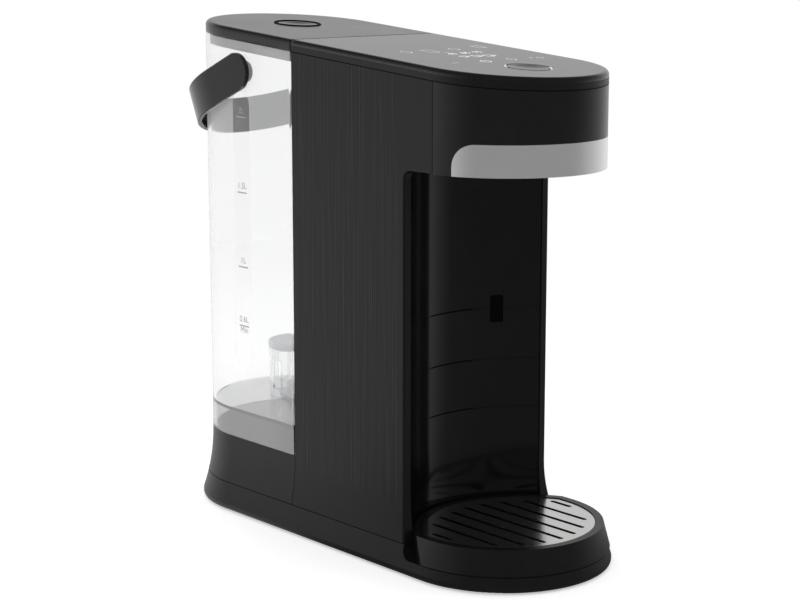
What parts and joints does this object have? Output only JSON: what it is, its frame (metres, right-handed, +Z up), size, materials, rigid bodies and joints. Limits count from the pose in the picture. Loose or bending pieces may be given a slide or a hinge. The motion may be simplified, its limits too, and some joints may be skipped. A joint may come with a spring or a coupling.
{
  "type": "hot water dispenser",
  "caption": "Slim countertop hot water dispenser with a slot-shaped plan: clear lift-off tank with lid and carrying handle behind, cup bay with drip tray in front.",
  "frame": {"origin": "on the floor, under the middle of the whole footprint, with the tank's handle in its rest position", "axes": "+Z up; -Y towards the spout, +Y towards the tank along the body's length; X across the body, +X on the side of the sensor window"},
  "size_m": [0.1244, 0.3112, 0.2998],
  "materials": {
    "satin_black": "satin",
    "ribbed_black": "fine upright ribs, satin",
    "gloss_black": "glossy",
    "silver_band": "satin silver",
    "grille_steel": "brushed along the slots",
    "tank_clear": "clear, polished",
    "filter_grey": "satin",
    "dark_window": "glossy",
    "rubber_black": "matte",
    "steel": "satin",
    "inner_grey": "matte",
    "inner_white": "matte",
    "board_green": "satin",
    "hose_clear": "translucent silicone"
  },
  "bodies": {
    "body": {"base_pan": "satin_black", "bottom_plate": "satin_black", "rubber_feet": "rubber_black", "base_screws": "steel", "cord_gland": "rubber_black", "left_side_panel": "ribbed_black", "right_side_panel": "ribbed_black", "rear_base_cover": "satin_black", "tank_dock": "inner_grey", "dock_seal": "rubber_black", "bulkhead": "satin_black", "bay_wall": "gloss_black", "sensor_window": "dark_window", "spout_head": "gloss_black", "accent_band": "silver_band", "spout_plate": "satin_black", "nozzle": "satin_black", "nozzle_strainer": "steel", "top_collar": "satin_black", "control_board": "board_green", "board_lights": "inner_white", "button_switch": "inner_grey", "top_cover": "gloss_black", "button_dome": "rubber_black", "pump_motor": "steel", "pump_housing": "inner_white", "pump_cradle": "rubber_black", "flow_meter": "inner_white", "heater": "steel", "heater_bracket": "steel", "thermal_cutouts": "inner_grey", "inlet_hose": "hose_clear", "pump_hoses": "hose_clear", "outlet_hose": "hose_clear", "hose_clamps": "steel", "power_board": "board_green", "power_parts": "inner_grey"},
    "tank": {"tank_shell": "tank_clear", "filter_cup": "tank_clear", "filter_cap": "filter_grey", "valve_body": "filter_grey", "valve_spring": "steel", "handle_pins": "satin_black"},
    "valve": {"valve_plunger": "filter_grey", "valve_washer": "rubber_black"},
    "lid": {"tank_lid": "satin_black", "lid_seal": "rubber_black", "lid_button_spring": "steel"},
    "lid_button": {"lid_button": "gloss_black"},
    "handle": {"handle_strap": "satin_black"},
    "drip_tray": {"drip_tray": "satin_black"},
    "grille": {"drip_grille": "grille_steel"},
    "dispense_button": {"dispense_button": "gloss_black"},
    "pump_rotor": {"pump_impeller": "inner_white"}
  },
  "joints": [
    {"name": "tank_lift", "type": "slide", "parent": "body", "child": "tank", "axis": [0, 0, 1], "range_m": [0, 0.25]},
    {"name": "lid_lift", "type": "slide", "parent": "tank", "child": "lid", "axis": [0, 0, 1], "range_m": [0, 0.02]},
    {"name": "lid_button_press", "type": "slide", "parent": "lid", "child": "lid_button", "axis": [0, 0.0819, -0.9966], "range_m": [0, 0.002], "stiffness_N_per_m": 400, "springref_m": -0.004, "deforming": ["lid_button_spring"]},
    {"name": "valve_close", "type": "slide", "parent": "tank", "child": "valve", "axis": [0, 0, 1], "range_m": [-0.002, 0], "deforming": ["valve_spring"]},
    {"name": "handle_swing", "type": "hinge", "parent": "tank", "child": "handle", "pos_m": [0, 0.0712, 0.2697], "axis": [1, 0, 0], "range_deg": [0, 113.4]},
    {"name": "tray_slide", "type": "slide", "parent": "body", "child": "drip_tray", "axis": [0, -1, 0], "range_m": [0, 0.12]},
    {"name": "grille_lift", "type": "slide", "parent": "drip_tray", "child": "grille", "axis": [0, 0, 1], "range_m": [0, 0.03]},
    {"name": "dispense_press", "type": "slide", "parent": "body", "child": "dispense_button", "axis": [0, 0.0819, -0.9966], "range_m": [0, 0.0012], "stiffness_N_per_m": 800, "springref_m": -0.002, "deforming": ["button_dome"]},
    {"name": "pump_spin", "type": "hinge", "parent": "body", "child": "pump_rotor", "pos_m": [0, -0.011, 0.036], "axis": [0, 1, 0], "continuous": true}
  ],
  "couplings": [
    {"joint": "valve_close", "follows": "tank_lift", "ratio": -0.008}
  ]
}
